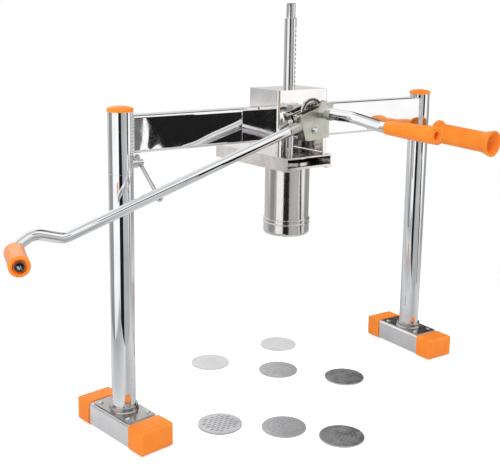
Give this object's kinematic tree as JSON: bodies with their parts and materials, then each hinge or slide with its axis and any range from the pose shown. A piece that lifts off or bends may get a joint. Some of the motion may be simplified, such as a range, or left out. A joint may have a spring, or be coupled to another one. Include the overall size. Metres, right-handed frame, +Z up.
{
  "type": "hand cranked pasta press",
  "caption": "Hand cranked noodle and pasta press: rack plunger and barrel on a cross beam between two posts with pull-out legs, a ratchet crank, grips and loose dies.",
  "frame": {"origin": "under the middle of the whole object's bounding box, on the floor that the feet stand on", "axes": "+X along the cross beam to the user's right, +Y away from the user, +Z up"},
  "size_m": [0.9946, 0.5257, 0.71],
  "materials": {
    "chrome_frame": "mirror chrome tube",
    "head_chrome": "mirror chrome sheet",
    "polished_steel": "polished stainless",
    "foot_steel": "satin",
    "orange_rubber": "smooth satin",
    "roller_plastic": "smooth",
    "zinc": "zinc plated",
    "bright_steel": "bright",
    "dark_steel": "oiled",
    "bronze": "machined",
    "seal_plastic": "smooth",
    "disc_plastic": "satin",
    "disc_steel": "stamped steel"
  },
  "bodies": {
    "frame": {"beam": "chrome_frame", "left_sleeve": "chrome_frame", "right_sleeve": "chrome_frame", "post_caps": "orange_rubber", "clamp_bosses": "bright_steel", "head_shell": "head_chrome", "head_front": "head_chrome", "head_top": "head_chrome", "head_inner_plate": "head_chrome", "rod_bush": "bronze", "tray": "head_chrome", "bearing_housing": "bright_steel", "bearing_outer_ring": "bright_steel", "bearing_balls": "bright_steel", "rear_bush": "bronze", "big_grip_stub": "chrome_frame", "big_grip": "orange_rubber", "plain_discs": "disc_plastic", "die_large_holes": "disc_steel", "die_square_grid": "disc_steel", "die_slots": "disc_steel", "die_medium_holes": "disc_steel", "die_small_holes": "disc_steel"},
    "plunger": {"plunger_rod": "polished_steel", "piston": "polished_steel", "piston_seal": "seal_plastic"},
    "shaft": {"drive_shaft": "bright_steel", "drive_pinion": "dark_steel", "ratchet_wheel": "dark_steel", "shaft_spacers": "bright_steel", "bearing_inner_ring": "bright_steel"},
    "crank": {"crank_bracket": "zinc", "crank_socket": "zinc", "socket_bolts": "bright_steel", "pawl_bolt": "bright_steel", "crank_rod": "chrome_frame", "roller_nut": "bright_steel", "crank_hub": "zinc", "lock_nut": "bright_steel", "side_handle_tube": "chrome_frame", "side_handle_grip": "orange_rubber"},
    "pawl": {"drive_pawl": "dark_steel"},
    "roller": {"roller_grip": "roller_plastic"},
    "barrel": {"barrel": "polished_steel"},
    "cap": {"barrel_cap": "polished_steel"},
    "left_leg": {"left_leg": "chrome_frame", "left_collar": "chrome_frame", "left_collar_screws": "bright_steel", "left_foot_tube": "foot_steel", "left_foot_caps": "orange_rubber"},
    "right_leg": {"right_leg": "chrome_frame", "right_collar": "chrome_frame", "right_collar_screws": "bright_steel", "right_foot_tube": "foot_steel", "right_foot_caps": "orange_rubber"},
    "left_clamp": {"left_clamp_screw": "bright_steel"},
    "left_bar": {"left_tommy_bar": "bright_steel"},
    "right_clamp": {"right_clamp_screw": "bright_steel"},
    "right_bar": {"right_tommy_bar": "bright_steel"}
  },
  "joints": [
    {"name": "plunger_slide", "type": "slide", "parent": "frame", "child": "plunger", "axis": [0, 0, 1], "range_m": [-0.12566, 0]},
    {"name": "shaft_spin", "type": "hinge", "parent": "frame", "child": "shaft", "pos_m": [0.09613, 0.0382, 0.525], "axis": [0, 1, 0], "range_deg": [-480.2, 0.1]},
    {"name": "crank_swing", "type": "hinge", "parent": "frame", "child": "crank", "pos_m": [0.09613, 0.0382, 0.525], "axis": [0, -1, 0], "range_deg": [-60, 18]},
    {"name": "pawl_drop", "type": "hinge", "parent": "crank", "child": "pawl", "pos_m": [0.08402, -0.0118, 0.4962], "axis": [0, -1, 0], "range_deg": [-20, 10]},
    {"name": "roller_spin", "type": "hinge", "parent": "crank", "child": "roller", "pos_m": [-0.46268, -0.03342, 0.36693], "axis": [-0.2928, -0.9562, -0.0001], "continuous": true},
    {"name": "barrel_slide", "type": "slide", "parent": "frame", "child": "barrel", "axis": [0, -1, 0], "range_m": [0, 0.11]},
    {"name": "cap_turn", "type": "hinge", "parent": "barrel", "child": "cap", "pos_m": [0.07513, 0.0382, 0.3052], "axis": [0, 0, 1], "range_deg": [0, 720]},
    {"name": "left_leg_slide", "type": "slide", "parent": "frame", "child": "left_leg", "axis": [0, 0, -1], "range_m": [0, 0.08]},
    {"name": "right_leg_slide", "type": "slide", "parent": "frame", "child": "right_leg", "axis": [0, 0, -1], "range_m": [0, 0.08]},
    {"name": "left_clamp_turn", "type": "hinge", "parent": "frame", "child": "left_clamp", "pos_m": [-0.20887, 0.0677, 0.453], "axis": [1, 0, 0], "range_deg": [-5, 180]},
    {"name": "left_bar_slide", "type": "slide", "parent": "left_clamp", "child": "left_bar", "axis": [0, 0.7837, 0.6211], "range_m": [0, 0.064]},
    {"name": "right_clamp_turn", "type": "hinge", "parent": "frame", "child": "right_clamp", "pos_m": [0.48113, 0.0677, 0.453], "axis": [1, 0, 0], "range_deg": [-80, 140]},
    {"name": "right_bar_slide", "type": "slide", "parent": "right_clamp", "child": "right_bar", "axis": [0, -0.9848, 0.1736], "range_m": [0, 0.018]}
  ],
  "couplings": [
    {"joint": "shaft_spin", "follows": "plunger_slide", "rad_per_m": 66.667}
  ]
}
